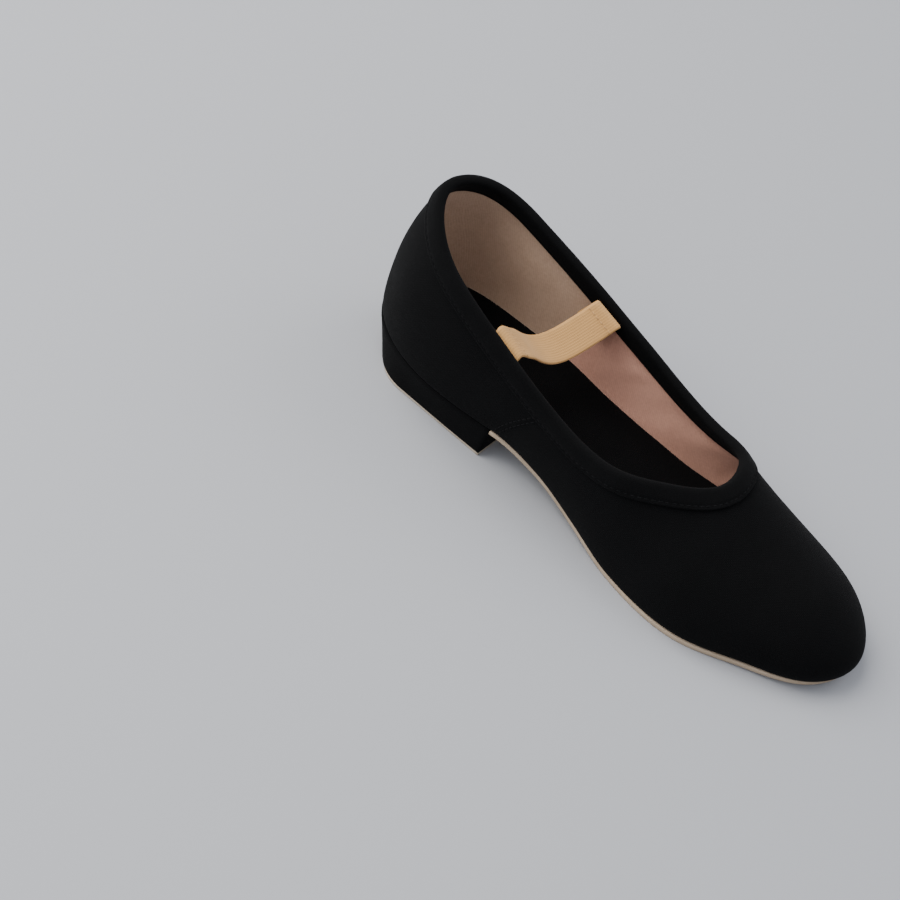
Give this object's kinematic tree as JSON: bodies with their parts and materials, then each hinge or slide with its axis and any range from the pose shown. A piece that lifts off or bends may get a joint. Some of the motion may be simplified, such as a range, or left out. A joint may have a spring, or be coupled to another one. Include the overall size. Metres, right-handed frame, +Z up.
{
  "type": "character shoe",
  "caption": "Low-heeled canvas character shoe with a bound low-cut collar, a slack elastic strap across the instep, a thin flat sole and a covered heel.",
  "frame": {"origin": "centre of the bounding box on the floor, under the standing shoe", "axes": "+X towards the toe, +Y towards the inner side of the foot, +Z up"},
  "size_m": [0.249, 0.0828, 0.0848],
  "materials": {
    "black_canvas": "matt plain-weave cotton canvas, lined in beige and pinkish cotton",
    "black_tape": "matt woven cotton tape",
    "black_insole": "matt brushed sock lining",
    "natural_leather": "undyed suede sole with a pale cut edge",
    "heel_cover": "matt canvas stretched over the heel",
    "pale_top_piece": "undyed leather with a pale cut edge",
    "cream_elastic": "matt woven elastic with fine lengthwise ribs"
  },
  "bodies": {
    "root": {"upper": "black_canvas", "topline_binding": "black_tape", "insole": "black_insole", "outsole": "natural_leather", "heel_block": "heel_cover", "heel_top_piece": "pale_top_piece", "elastic_strap": "cream_elastic"}
  },
  "joints": []
}
